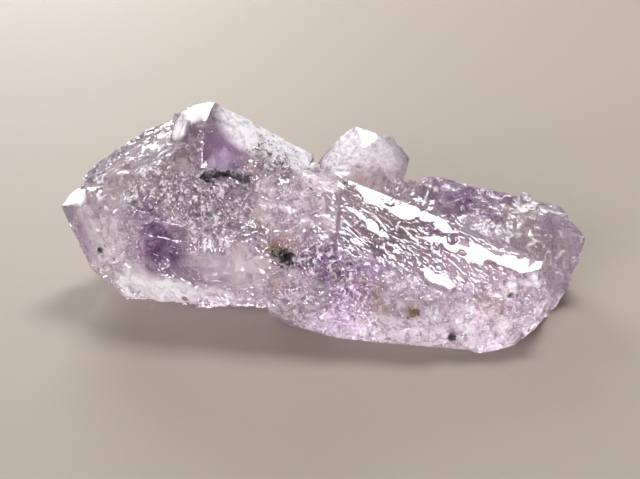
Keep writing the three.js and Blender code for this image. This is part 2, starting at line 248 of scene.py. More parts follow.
# Pits, as (pixel x, pixel y, radius, depth).
PITS = [
    (281, 257, 0.9, 1.1), (291, 259, 0.7, 1.0), (415, 313, 0.6, 0.5), (453, 336, 0.5, 0.3),
    (100, 250, 0.5, 0.5), (292, 309, 0.8, 0.6), (262, 245, 0.5, 0.7), (208, 179, 0.6, 0.6),
    (217, 176, 0.6, 0.6), (227, 175, 0.6, 0.6), (237, 177, 0.6, 0.6), (246, 180, 0.6, 0.6),
    (108, 280, 0.6, 0.5),
]
# Grains of darker minerals, as (pixel x, pixel y, reach, count, size, colour).
BLACK = (0.012, 0.010, 0.012)
OLIVE = (0.11, 0.10, 0.045)
UMBER = (0.14, 0.085, 0.05)
GRAINS = [
    (208, 178, 0.8, 60, 0.22, BLACK), (218, 175, 0.7, 60, 0.22, BLACK), (229, 175, 0.6, 50, 0.22, BLACK),
    (238, 177, 0.7, 50, 0.22, BLACK), (247, 180, 0.8, 60, 0.24, BLACK), (285, 258, 1.2, 150, 0.26, BLACK),
    (413, 312, 0.8, 90, 0.3, UMBER), (453, 336, 0.6, 50, 0.22, BLACK), (100, 250, 0.5, 24, 0.22, BLACK),
    (190, 187, 5.0, 150, 0.17, BLACK), (150, 200, 3.0, 50, 0.16, BLACK), (200, 207, 1.5, 24, 0.22, BLACK),
    (262, 150, 2.2, 90, 0.26, OLIVE), (285, 165, 2.2, 60, 0.22, OLIVE), (256, 230, 1.1, 50, 0.26, OLIVE),
    (410, 174, 1.4, 70, 0.3, OLIVE), (275, 248, 1.1, 40, 0.24, UMBER), (292, 309, 0.9, 26, 0.24, UMBER),
    (275, 300, 1.2, 24, 0.2, UMBER), (350, 285, 3.4, 70, 0.13, BLACK), (400, 325, 5.0, 70, 0.12, BLACK),
    (320, 300, 3.2, 46, 0.12, BLACK), (120, 275, 2.6, 16, 0.14, UMBER), (440, 320, 5.0, 60, 0.11, UMBER),
]
GRAIN_SPREAD = 0.45
HIDDEN_GRAINS = 380
HIDDEN_GRAIN_SIZE = (0.12, 0.34)

# The way the hidden side faces, and the sizes and channels of the noises that lay out its zones.
BEHIND = np.array((0, math.cos(CAMERA_ELEVATION), -math.sin(CAMERA_ELEVATION)))
HIDDEN_NOISES = {"form": (9, 120), "tint": (7, 130)}
# Its zones, as (noise, sign, low, high, strength): each lies where the noise times the sign is high.
HIDDEN_ZONES = {
    "smooth": ("form", 1, -0.05, 0.15, 1),
    "granular": ("form", -1, 0.2, 0.45, 1),
    "violet": ("tint", 1, 0.15, 0.45, 0.6),
    "night": ("tint", 1, 0.4, 0.7, 0.4),
    "milky": ("tint", -1, 0.3, 0.6, 0.7),
    "grey": ("form", -1, 0.1, 0.4, 0.7),
}

# The stone's colours, what it absorbs on the way through, and how far light spreads under its surface.
PALE = (0.93, 0.87, 0.90, 1)
LILAC = (0.87, 0.76, 0.87, 1)
DEEP_VIOLET = (0.34, 0.15, 0.50, 1)
SMOKE = (0.60, 0.54, 0.60, 1)
MAUVE = (0.42, 0.30, 0.36, 1)
TAN = (0.66, 0.53, 0.47, 1)
# Near black for dark earth, and for painted shade in the creases.
EARTH_AND_SHADE = (0.03, 0.02, 0.025, 1)
SHADED = (0.22, 0.17, 0.19, 1)
NIGHT_VIOLET = (0.13, 0.05, 0.2, 1)
SNOW = (1.0, 0.91, 0.965, 1)
DUST = (0.16, 0.13, 0.11, 1)
QUARTZ_IOR = 1.544
ABSORBED = (0.80, 0.52, 0.76, 1)
ABSORPTION = 18
GLOW_DEPTH = 0.9
# How much light passes through clear stone and through clouded stone.
CLEAR = 0.93
CLOUDED = 0.45
# How rough polished, frosted and satin faces are.
POLISHED = 0.04
FROSTED = 0.26
SATIN_ROUGHNESS = 0.24
# The finish's marks: how wide they are, and how far the small flats and strokes tilt.
DRIFT_SIZE = 2.2
TINT_SIZE = 7
VEIN_SIZE = 1.1
VEIL_SIZE = 0.6
CRACK_SIZE = 0.9
SPARKLE_SIZE = 0.42
SPARKLE_TILT = 0.7
GLITTER_SIZE = 0.2
GLITTER_TILT = 0.5
STROKE_SIZE = 0.15
STROKE_TILT = 0.4
GRAIN_MARK_SIZE = 0.08


def lattice_hash(cells, channel):
    """A repeatable number from 0 to 1 for each whole-numbered cell."""
    x, y, z = (cells[..., axis].astype(np.int64) for axis in range(3))
    mixed = x * 73856093 ^ y * 19349663 ^ z * 83492791 ^ (channel + SEED) * 2654435761
    mixed = (mixed ^ (mixed >> 13)) * 1274126177
    return ((mixed ^ (mixed >> 16)) & 0xFFFFFF) / float(0xFFFFFF)


def smooth_noise(points, size, channel):
    """Smooth noise from -1 to 1 whose lumps are about `size` across."""
    scaled = points / size
    corner = np.floor(scaled)
    part = scaled - corner
    ease = part * part * (3 - 2 * part)
    total = np.zeros(len(points))
    for offset in np.ndindex(2, 2, 2):
        step = np.array(offset)
        weight = np.prod(np.where(step, ease, 1 - ease), axis=1)
        total += weight * lattice_hash(corner + step, channel)
    return 2 * total - 1


def vector_noise(points, size, channel):
    return np.stack([smooth_noise(points, size, channel + 7 * axis) for axis in range(3)], axis=1)


def facets(points, size, channel):
    """A surface of small tilted flats, each about `size` across: a height from about -1 to 1."""
    scaled = points / size
    home = np.floor(scaled)
    nearest = np.full(len(points), np.inf)
    height = np.zeros(len(points))
    for offset in np.ndindex(3, 3, 3):
        cell = home + np.array(offset) - 1
        jitter = np.stack([lattice_hash(cell, channel + axis) for axis in range(3)], axis=1)
        tilt = np.stack([lattice_hash(cell, channel + 3 + axis) for axis in range(3)], axis=1)
        away = scaled - cell - jitter
        distance = (away * away).sum(axis=1)
        closer = distance < nearest
        level = lattice_hash(cell, channel + 6)
        plane = ((2 * tilt - 1) * away).sum(axis=1) + 0.7 * (level - 0.5)
        height = np.where(closer, plane, height)
        nearest = np.where(closer, distance, nearest)
    return height


def fade(value, low, high):
    """0 below `low`, 1 above `high`, and a smooth step between them."""
    part = np.clip((value - low) / (high - low), 0, 1)
    return part * part * (3 - 2 * part)


def between(value, begin, full, last, end):
    """1 from `full` to `last`, 0 outside `begin` to `end`, and smooth steps between them."""
    return fade(value, begin, full) * (1 - fade(value, last, end))


def tree_of(mesh):
    mesh.calc_loop_triangles()
    triangles = np.empty(len(mesh.loop_triangles) * 3, np.int32)
    mesh.loop_triangles.foreach_get("vertices", triangles)
    return BVHTree.FromPolygons(corners(mesh).tolist(), triangles.reshape(-1, 3).tolist())


def corners(mesh):
    flat = np.empty(len(mesh.vertices) * 3, np.float32)
    mesh.vertices.foreach_get("co", flat)
    return flat.reshape(-1, 3).astype(float)


def set_corners(mesh, points):
    mesh.vertices.foreach_set("co", points.astype(np.float32).ravel())
    mesh.update()


def normals(mesh):
    flat = np.empty(len(mesh.vertices) * 3, np.float32)
    mesh.vertices.foreach_get("normal", flat)
    return flat.reshape(-1, 3).astype(float)


def linked(name, data):
    thing = bpy.data.objects.new(name, data)
    bpy.context.scene.collection.objects.link(thing)
    return thing


def modified(thing, kind, **settings):
    """Applies one modifier and gives the new mesh."""
    modifier = thing.modifiers.new(kind, kind)
    for key, value in settings.items():
        setattr(modifier, key, value)
    bpy.context.view_layer.update()
    mesh = bpy.data.meshes.new_from_object(thing.evaluated_get(bpy.context.evaluated_depsgraph_get()))
    thing.modifiers.clear()
    old = thing.data
    thing.data = mesh
    bpy.data.meshes.remove(old)
    return mesh


# Places on the stone.
class Sight:
    """The camera's line through a pixel of the photo, and where it meets the solid."""

    def __init__(self, mesh):
        self.tree = tree_of(mesh)
        self.ahead = Vector((0, math.cos(CAMERA_ELEVATION), -math.sin(CAMERA_ELEVATION)))
        self.up = Vector((0, math.sin(CAMERA_ELEVATION), math.cos(CAMERA_ELEVATION)))
        self.eye = CAMERA_TARGET - self.ahead * CAMERA_DISTANCE

    def line(self, x, y):
        right = (x - PHOTO_SIZE[0] / 2) / FOCAL_PIXELS
        up = (PHOTO_SIZE[1] / 2 - y) / FOCAL_PIXELS
        return (self.ahead + Vector((right, 0, 0)) + self.up * up).normalized()

    def point(self, x, y):
        """The place on the solid behind a pixel, or the nearest to it, and the way it faces."""
        hit = self.tree.ray_cast(self.eye * MM, self.line(x, y))
        if hit[0] is None:
            hit = self.tree.find_nearest(self.eye * MM + self.line(x, y) * CAMERA_DISTANCE * MM)
        return hit[0] / MM, hit[1]


def spots_of(sight, pixels):
    """Each pixel's place on the stone and the way the stone faces there, with its radius and strength."""
    spots = []
    for x, y, radius, strength in pixels:
        place, way = sight.point(x, y)
        spots.append((np.array(place), np.array(way), radius, strength))
    return spots


def zone(points, spots, soft=SHAPE_EDGE):
    """How far each point lies inside a list of round zones: 0 to 1."""
    inside = np.zeros(len(points))
    for centre, _, radius, strength in spots:
        away = np.linalg.norm(points - centre, axis=1) / radius
        inside = np.maximum(inside, strength * (1 - fade(away, 1 - soft, 1 + soft)))
    return inside


def wide_zone(name, points, out, spots, soft=SHAPE_EDGE):
    """A zone of the side in view, carried on by noise over the side that the photo doesn't show."""
    share = zone(points, spots, soft)
    if name not in HIDDEN_ZONES:
        return share
    noise, sign, low, high, strength = HIDDEN_ZONES[name]
    level = sign * smooth_noise(points, *HIDDEN_NOISES[noise])
    hidden = fade(out @ BEHIND, -0.1, 0.3)
    return np.maximum(share, strength * hidden * fade(level, low, high))


def frosted_and_lit_faces(points, out, spots):
    """How far each point belongs to one of the white faces: the frosted ones, and those with painted
    highlights and painted glow.
    """
    share = np.zeros(len(points))
    for spot in spots:
        facing = fade(out @ spot[1], 0.84, 0.93)
        share = np.maximum(share, facing * zone(points, [spot], WHITE_EDGE))
    return share


def face_frame():
    """The growth face's own axes: along the ridge, down the face and out from it."""
    along = FACE_ALONG / np.linalg.norm(FACE_ALONG)
    down = np.cross(along, FACE_OUT)
    down /= np.linalg.norm(down)
    out = np.cross(down, along)
    return along, down, out


def on_growth_face(points):
    """Each point along the ridge, down the face and out from it, and how far it belongs to the face."""
    away = points - FACE_POINT
    run, fall, height = (away @ axis for axis in face_frame())
    inside = between(run, *SHAPED_RUN)
    inside *= between(fall, *SHAPED_FALL)
    inside *= 1 - fade(np.abs(height - 0.2), 0.8, 1.3)
    return run, fall, height, inside


def terrace_outlines(sight):
    """Each terrace as points along the ridge and down the face."""
    along, down, out = face_frame()
    eye = np.array(sight.eye)
    outlines = []
    for pixels in TERRACES:
        outline = []
        for x, y in pixels:
            line = np.array(sight.line(x, y))
            reach = ((FACE_POINT - eye) @ out) / (line @ out)
            away = eye + reach * line - FACE_POINT
            outline.append((away @ along, away @ down))
        outlines.append(np.array(outline))
    return outlines


def within(run, fall, outline):
    """Which points lie inside a closed outline."""
    inside = np.zeros(len(run), bool)
    for (x0, y0), (x1, y1) in zip(outline, np.roll(outline, -1, axis=0)):
        crosses = (y0 > fall) != (y1 > fall)
        slope = (x1 - x0) / (y1 - y0 if y1 != y0 else 1e-9)
        inside ^= crosses & (run < x0 + slope * (fall - y0))
    return inside


# Small crystals and chips.
def crystal_form(width, length, chance):
    """A six-sided crystal with a point, as corners and faces."""
    sides = 6
    turns = np.arange(sides) / sides * 2 * math.pi
    ring = np.stack([np.cos(turns), np.sin(turns)], axis=1) * width / 2
    shoulders = length - width * np.where(np.arange(sides) % 2, 0.42, 0.66)
    low = np.column_stack([ring, np.zeros(sides)])
    high = np.column_stack([ring, np.maximum(shoulders, 0.1 * length)])
    tip = np.array([[width * chance.uniform(-0.1, 0.1), 0, length]])
    faces = [(0, 5, 4, 3), (0, 3, 2, 1)]
    for side in range(sides):
        after = (side + 1) % sides
        faces.append((side, after, sides + after, sides + side))
        faces.append((sides + side, sides + after, 2 * sides))
    return np.vstack([low, high, tip]), faces


def chip_form(width, length, chance):
    """A broken block: a box with each corner knocked about."""
    box = np.array([[x, y, z] for x in (-1, 1) for y in (-1, 1) for z in (-1, 1)], float)
    box += chance.uniform(-0.45, 0.45, box.shape)
    box *= np.array([width * 0.5, width * chance.uniform(0.3, 0.5), length * 0.5])
    faces = [(0, 1, 3, 2), (4, 6, 7, 5), (0, 4, 5, 1), (2, 3, 7, 6), (0, 2, 6, 4), (1, 5, 7, 3)]
    return box, faces


def turned(form, axis, spin):
    """Turns a form's +Z along an axis after a spin about it."""
    axis = axis / np.linalg.norm(axis)
    side = np.cross(axis, (0, 0, 1) if abs(axis[2]) < 0.9 else (1, 0, 0))
    side /= np.linalg.norm(side)
    other = np.cross(axis, side)
    first = math.cos(spin) * side + math.sin(spin) * other
    second = np.cross(axis, first)
    return form @ np.stack([first, second, axis])


def scattered(mesh, count, chance):
    """Random points, even over a mesh, and the way the mesh faces at each."""
    mesh.calc_loop_triangles()
    triangles = np.array([triangle.vertices[:] for triangle in mesh.loop_triangles])
    points = corners(mesh) / MM
    a, b, c = (points[triangles[:, corner]] for corner in range(3))
    cross = np.cross(b - a, c - a)
    area = np.linalg.norm(cross, axis=1) / 2
    facing = cross / (2 * area[:, None] + 1e-12)
    picked = chance.choice(len(area), count, p=area / area.sum())
    shares = chance.dirichlet((1, 1, 1), count)
    places = sum(shares[:, i, None] * corner[picked] for i, corner in enumerate((a, b, c)))
    return places, facing[picked]


def grow(mesh, spots, chance):
    """Corners and faces of small crystals and chips over the rough parts of the surface."""
    count = CHIPS
    places, out = scattered(mesh, count, chance)
    smooth = wide_zone("smooth", places, out, spots["smooth"])
    granular = wide_zone("granular", places, out, spots["granular"])
    growth = on_growth_face(places)[3]
    coarse = 0.5 + 0.5 * smooth_noise(places, 5, 40)
    wanted = 0.04 + 0.2 * coarse * coarse + 0.6 * granular
    wanted *= (1 - smooth) * (1 - growth) * (1 - zone(places, spots["bare"])) * (places[:, 2] > 0.5)
    kept = chance.random(count) < wanted
    all_points = []
    all_faces = []
    first = 0
    for place, way, fine in zip(places[kept], out[kept], granular[kept]):
        width = chance.uniform(*CHIP_WIDTH) * (1.35 - 0.6 * fine)
        pointed = chance.random() < POINTED_SHARE
        length = width * chance.uniform(*(CRYSTAL_LENGTH if pointed else CHIP_LENGTH))
        form, faces = (crystal_form if pointed else chip_form)(width, length, chance)
        axis = way + chance.uniform(-CHIP_LEAN, CHIP_LEAN, 3)
        sunk = place - axis / np.linalg.norm(axis) * length * (0.55 if pointed else 0.1)
        all_points.append(turned(form, axis, chance.uniform(0, math.pi)) + sunk)
        all_faces += [tuple(first + corner for corner in face) for face in faces]
        first += len(form)
    return np.vstack(all_points), all_faces


# The fine surface.
def face_relief(points, spots):
    """The shift that flattens the growth face's terraces, and the ripples' height and share between them."""
    run, fall, height, growth = on_growth_face(points)
    level = np.zeros(len(run))
    flat = np.column_stack([run, fall, level])
    wander = 0.24 * vector_noise(flat, 1.3, 57) + 0.14 * vector_noise(flat, 0.5, 61)
    islands = smooth_noise(np.column_stack([run * 0.5, fall, level]), 0.8, 55) > 0.62
    bare = np.ones(len(run))
    rise = np.zeros(len(run))
    for outline in spots["terraces"]:
        held = within(run + wander[:, 0], fall + wander[:, 1], outline) & (growth > 0.1) & ~islands
        if held.any():
            bare[held] = 0
            gap = np.median(height[held]) + TERRACE_LIFT - height[held]
            rise[held] = np.clip(gap, -TERRACE_SHIFT, TERRACE_SHIFT)
    stroke = np.column_stack([STROKE_STRETCH * run, fall - STROKE_SLANT * run, level])
    fine = facets(stroke + 0.15 * vector_noise(flat, 0.8, 80), 0.38, 51)
    ripple = fine + 1.6 * facets(stroke, 0.8, 63)
    return rise[:, None] * face_frame()[2], growth * bare * STROKE_HEIGHT * ripple, growth * bare


def roughened(points, out, spots):
    """The new place of each point, and its share of ripples, sunk cells and painted highlights along the
    step edges.
    """
    smooth = wide_zone("smooth", points, out, spots["smooth"])
    granular = wide_zone("granular", points, out, spots["granular"])
    growth = on_growth_face(points)[3]
    warped = points + 0.5 * vector_noise(points, 1.4, 60)
    satin = zone(points, spots["satin"])
    broken = (1 - 0.93 * smooth) * (1 - 0.65 * satin) * (1 - growth)
    patchy = 0.45 + 0.55 * fade(smooth_noise(points, 6, 20), -0.3, 0.4)
    move = BLOCK_HEIGHT * facets(warped, BLOCK_SIZE, 1) * broken * patchy
    cells = facets(warped, CELL_SIZE, 11)
    move += CELL_HEIGHT * cells * broken * (0.6 + 0.4 * granular)
    move += CRUMB_HEIGHT * facets(warped, CRUMB_SIZE, 31) * (1 - smooth) * (1 - growth) * granular
    move += SWELL_HEIGHT * smooth_noise(points, SWELL_SIZE, 22) * smooth

    # Low steps with wavy edges, drawn out along the crystal. The last noise's edges also carry thin painted
    # highlights.
    drawn = points * STEP_STRETCH
    for size, channel in STEP_NOISES:
        level = smooth_noise(drawn, size, channel) + 0.25 * smooth_noise(points, 0.7, channel)
        move += STEP_HEIGHT * satin * (1 - growth) * fade(level, -0.03, 0.03)
    # Painted highlights: thin white strokes where the steps' edges would catch the light.
    lines = satin * (1 - growth) * (1 - fade(np.abs(level - 0.06), 0.01, 0.08))
    lines *= fade(smooth_noise(points, 1.6, 28), -0.1, 0.3)

    shift, ripple, rippled = face_relief(points, spots)
    move += ripple
    for centre, _, radius, depth in spots["pits"]:
        away = np.linalg.norm(points - centre, axis=1)
        away += 0.3 * radius * smooth_noise(points, 0.8, 70)
        move -= depth * (1 - fade(away / radius, 0.35, 1))

    above = fade(points[:, 2], 0.05, 0.8)
    moved = points + (out * move[:, None] + shift) * above[:, None]
    return moved, {"ripple": rippled, "sunk": fade(-cells, 0.15, 0.6) * broken, "lines": lines}


def finish_shares(points, out, sight):
    """How far each point belongs to each zone of the finish, with edges that wander."""
    wander = 0
    for step, size in enumerate((2.2, 0.9, 0.4)):
        wander = wander + size * 0.4 * vector_noise(points, size, 100 + step)
    shares = {}
    for name, pixels in FINISH.items():
        strayed = points + wander * (0.4 if name == "dark" else 1)
        shares[name] = wide_zone(name, strayed, out, spots_of(sight, pixels), FINISH_EDGE)
    shares["white"] = frosted_and_lit_faces(points + 0.3 * wander, out, spots_of(sight, FROSTED_AND_LIT_FACES))
    return shares


def fine_surface(solid, sight):
    """The whole stone as one closed mesh, in metres."""
    chance = np.random.default_rng(SEED)
    spots = {name: spots_of(sight, pixels) for name, pixels in SHAPING.items()}
    spots["pits"] = spots_of(sight, PITS)
    spots["terraces"] = terrace_outlines(sight)
    points = corners(solid.data)
    grown, faces = grow(solid.data, spots, chance)
    faces = [tuple(len(points) + corner for corner in face) for face in faces]
    mesh = bpy.data.meshes.new("fine")
    own = [tuple(polygon.vertices) for polygon in solid.data.polygons]
    mesh.from_pydata(np.vstack([points, grown * MM]).tolist(), [], own + faces)
    stone = linked("amethyst", mesh)
    voxel = VOXEL * MM
    mesh = modified(stone, "REMESH", mode="VOXEL", voxel_size=voxel)
    start = corners(mesh) / MM
    out = normals(mesh)
    moved, shares = roughened(start, out, spots)
    shares.update(finish_shares(start, out, sight))

    # It stays inside the solid's box, with its foot on the ground.
    moved = np.clip(moved, points.min(axis=0) / MM, points.max(axis=0) / MM)
    set_corners(mesh, moved * MM)
    for name, share in shares.items():
        attribute = mesh.attributes.new(name, "FLOAT", "POINT")
        attribute.data.foreach_set("value", share.astype(np.float32))
    mesh = modified(stone, "TRIANGULATE")
    share = MOST_TRIANGLES / len(mesh.polygons)
    if share < 1:
        mesh = modified(stone, "DECIMATE", ratio=share)
    mesh.shade_smooth()
    mesh.set_sharp_from_angle(angle=SHARP_ANGLE)
    return stone


# Grains of other minerals.
def grain_form(size, chance):
    """A lumpy ball, stretched a little, as corners and faces."""
    ball = bmesh.new()
    bmesh.ops.create_icosphere(ball, subdivisions=1, radius=size / 2)
    points = np.array([corner.co for corner in ball.verts])
    faces = [tuple(corner.index for corner in face.verts) for face in ball.faces]
    ball.free()
    stretch = chance.uniform(0.55, 1.2, 3)
    return points * stretch * chance.uniform(0.75, 1.2, (len(points), 1)), faces


def grains(stone, sight):
    """Dark grains in the pits and over the rough patches, some of them on the back."""
    chance = np.random.default_rng(SEED + 1)
    tree = tree_of(stone.data)
    points = []
    faces = []
    tints = []

    def add(place, size, colour):
        form, sides = grain_form(size, chance)
        first = sum(len(piece) for piece in points)
        points.append(turned(form, chance.normal(size=3), chance.uniform(0, math.pi)) + place)
        faces.extend(tuple(first + corner for corner in side) for side in sides)
        shade = chance.uniform(0.6, 1.5)
        tints.extend([[min(1, part * shade) for part in colour] + [1]] * len(form))

    for x, y, reach, count, size, colour in GRAINS:
        centre = np.array(sight.point(x, y)[0])
        for _ in range(count):
            aim = Vector(centre + chance.normal(size=3) * reach * GRAIN_SPREAD)
            line = (aim - sight.eye).normalized()
            hit, way, *_ = tree.ray_cast(sight.eye * MM, line)
            if hit is not None and (hit / MM - Vector(centre)).length < 1.8 * reach + 0.5:
                grain = size * chance.uniform(0.5, 1.3)
                add(np.array(hit / MM) - np.array(way) * grain * 0.12, grain, colour)
    low, high = (np.array(corner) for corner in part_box(NODE))
    for _ in range(HIDDEN_GRAINS):
        turn = chance.uniform(0, math.pi)
        way = Vector((math.cos(turn), abs(math.sin(turn)), chance.uniform(-0.1, 0.9))).normalized()
        aim = Vector(low + (high - low) * chance.uniform(0.15, 0.85, 3))
        hit = tree.ray_cast(aim + way * 0.1, -way)[0]
        if hit is not None and smooth_noise(np.array([hit / MM]), 5, 90)[0] > 0.1:
            size = chance.uniform(*HIDDEN_GRAIN_SIZE)
            add(np.array(hit / MM), size, (BLACK, OLIVE, UMBER)[chance.integers(3)])
    mesh = bpy.data.meshes.new("mineral_grains")
    mesh.from_pydata((np.vstack(points) * MM).tolist(), [], faces)
    paint = mesh.color_attributes.new("tint", "FLOAT_COLOR", "POINT")
    paint.data.foreach_set("color", np.array(tints, np.float32).ravel())
    return linked("mineral_grains", mesh)


# Materials.
class Nodes:
    """Short calls for building the node tree of a new material or world."""

    def __init__(self, owner):
        self.owner = owner
        owner.use_nodes = True
        self.tree = owner.node_tree

    def inputs(self, name):
        return self.tree.nodes[name].inputs

    def set(self, socket, value):
        if isinstance(value, bpy.types.NodeSocket):
            self.tree.links.new(value, socket)
        else:
            socket.default_value = value

    def add(self, kind, inputs=(), output=0, **settings):
        node = self.tree.nodes.new(kind)
        for key, value in settings.items():
            setattr(node, key, value)
        for key, value in dict(inputs).items():
            self.set(node.inputs[key], value)
        return node.outputs[output]

    def times(self, a, b):
        return self.add("ShaderNodeMath", {0: a, 1: b}, operation="MULTIPLY")

    def less(self, a, b):
        return self.add("ShaderNodeMath", {0: a, 1: b}, operation="SUBTRACT")

    def most(self, a, b):
        return self.add("ShaderNodeMath", {0: a, 1: b}, operation="MAXIMUM")

    def size_of(self, a):
        return self.add("ShaderNodeMath", {0: a}, operation="ABSOLUTE")

    def vector(self, operation, a, b, output=0):
        return self.add("ShaderNodeVectorMath", {0: a, 1: b}, output, operation=operation)

    def dot(self, a, axis):
        return self.vector("DOT_PRODUCT", a, tuple(axis), "Value")

    def scaled(self, a, scale):
        return self.add("ShaderNodeVectorMath", {0: a, "Scale": scale}, operation="SCALE")

    def centred(self, colour):
        """A colour of random parts from 0 to 1, as a vector about the middle."""
        return self.vector("SUBTRACT", colour, (0.5, 0.5, 0.5))

    def strayed(self, place, drift, reach):
        return self.vector("ADD", place, self.scaled(drift, reach))

    def step(self, value, low, high, to_low=0.0, to_high=1.0):
        inputs = {"Value": value, "From Min": low, "From Max": high, "To Min": to_low, "To Max": to_high}
        return self.add("ShaderNodeMapRange", inputs, interpolation_type="SMOOTHSTEP")

    def between(self, value, begin, full, last, end):
        """1 from `full` to `last`, 0 outside `begin` to `end`, and smooth steps between them."""
        return self.times(self.step(value, begin, full), self.step(value, last, end, 1.0, 0.0))

    def mix(self, share, a, b):
        """A mix of two colours. The node's sockets for colours are its inputs 6 and 7 and its output 2."""
        node = self.tree.nodes.new("ShaderNodeMix")
        node.data_type = "RGBA"
        for index, value in ((0, share), (6, a), (7, b)):
            self.set(node.inputs[index], value)
        return node.outputs[2]

    def noise(self, where, size, detail, roughness=0.5, output=0):
        inputs = {"Vector": where, "Scale": 1 / size, "Detail": detail, "Roughness": roughness}
        return self.add("ShaderNodeTexNoise", inputs, output)

    def cells(self, where, size):
        """Cells about `size` across, each of one random colour."""
        return self.add("ShaderNodeTexVoronoi", {"Vector": where, "Scale": 1 / size}, "Color")

    def place(self):
        """The point on the piece, in millimetres."""
        return self.scaled(self.add("ShaderNodeTexCoord", output="Object"), 1 / MM)

    def share(self, name):
        """How far the point belongs to a zone that the mesh carries."""
        return self.add("ShaderNodeAttribute", output="Fac", attribute_name=name)


def growth_mask(nodes, place):
    """1 on the upper growth face of the right crystal, 0 elsewhere."""
    away = nodes.vector("SUBTRACT", place, tuple(FACE_POINT))
    run, fall, height = (nodes.dot(away, axis) for axis in face_frame())
    mask = nodes.times(nodes.between(run, *POLISHED_RUN), nodes.between(fall, *POLISHED_FALL))
    return nodes.times(mask, nodes.between(height, *POLISHED_HEIGHT))


def stroke_place(nodes, place):
    """The point in the growth face's frame, drawn out along the ridge so that its marks are thin."""
    run, fall, height = (nodes.dot(place, axis) for axis in face_frame())
    across = nodes.less(fall, nodes.times(run, STROKE_SLANT))
    return nodes.add("ShaderNodeCombineXYZ", {0: nodes.times(run, STROKE_STRETCH), 1: across, 2: height})


def stone_tint(nodes, place, veins, milky):
    """Pale to lilac quartz, with brown, grey, mauve, violet and milky patches."""
    broad = nodes.noise(place, TINT_SIZE, 4, 0.6)
    colour = nodes.mix(nodes.step(broad, 0.4, 0.68), PALE, LILAC)
    colour = nodes.mix(nodes.share("brown"), colour, TAN)
    colour = nodes.mix(nodes.share("grey"), colour, SMOKE)
    mauve = nodes.times(nodes.share("ripple"), nodes.step(veins, 0.35, 0.6, 0.25, 0.75))
    colour = nodes.mix(mauve, colour, MAUVE)
    violet = nodes.times(nodes.share("violet"), nodes.step(veins, 0.3, 0.6, 0.45, 1))
    colour = nodes.mix(violet, colour, DEEP_VIOLET)
    night = nodes.times(nodes.share("night"), nodes.step(veins, 0.3, 0.5))
    colour = nodes.mix(night, colour, NIGHT_VIOLET)
    return nodes.mix(milky, colour, SNOW)


def surface_marks(nodes, place, drift, veins):
    """Painted highlights on sharp corners and steps with white crumbs, shaded hollows and cracks, and
    painted shade in the creases between the crystals.
    """
    smooth = nodes.share("smooth")
    ripple = nodes.share("ripple")
    corner = nodes.add("ShaderNodeNewGeometry", output="Pointiness")
    # Painted highlights: convex corners painted white.
    edge = nodes.times(nodes.step(corner, 0.53, 0.62), nodes.step(veins, 0.35, 0.6, 0.3, 1))
    crunchy = nodes.times(nodes.share("granular"), nodes.step(nodes.share("glow"), 0.1, 0.7, 1, 0))
    grit = nodes.noise(nodes.strayed(place, drift, 1.2), CRACK_SIZE, 5, 0.65)
    bits = nodes.cells(nodes.strayed(place, drift, 0.6), SPARKLE_SIZE)
    crumbs = nodes.times(nodes.step(bits, 0.5, 0.58, 0.05, 0.8), nodes.step(grit, 0.45, 0.57))
    lit = nodes.most(nodes.times(crunchy, crumbs), nodes.share("lines"))
    crack = nodes.step(nodes.size_of(nodes.less(grit, 0.47)), 0.003, 0.018, 1, 0)
    crack = nodes.times(crack, nodes.step(crunchy, 0, 1, 0.1, 0.9))
    crack = nodes.times(crack, nodes.less(1.0, nodes.most(smooth, ripple)))
    sunk = nodes.times(nodes.share("sunk"), nodes.step(crunchy, 0, 1, 0.1, 0.8))
    # Painted shade: concave creases on rough patches are darkened.
    crease_shade = nodes.times(nodes.step(corner, 0.48, 0.4), nodes.step(crunchy, 0, 1, 0.2, 0.95))
    return nodes.most(edge, lit), nodes.most(sunk, crack), nodes.most(nodes.share("dark"), crease_shade)


def surface_way(nodes, place, bare):
    """The surface's normal, tilted by small flats on broken faces and by strokes on the growth face."""
    sparkle = nodes.centred(nodes.cells(place, SPARKLE_SIZE))
    glitter = nodes.centred(nodes.cells(place, GLITTER_SIZE))
    tilt = nodes.vector("ADD", nodes.scaled(sparkle, SPARKLE_TILT), nodes.scaled(glitter, GLITTER_TILT))
    glowing = nodes.times(nodes.share("glow"), 0.4)
    strength = nodes.times(bare, nodes.most(nodes.step(nodes.share("granular"), 0, 1, 0.16, 0.8), glowing))
    strokes = nodes.centred(nodes.cells(stroke_place(nodes, place), STROKE_SIZE))
    strokes = nodes.scaled(strokes, nodes.times(nodes.share("ripple"), STROKE_TILT))
    tilt = nodes.vector("ADD", nodes.scaled(tilt, strength), strokes)
    normal = nodes.add("ShaderNodeNewGeometry", output="Normal")
    return nodes.add("ShaderNodeVectorMath", {0: nodes.vector("ADD", normal, tilt)}, operation="NORMALIZE")


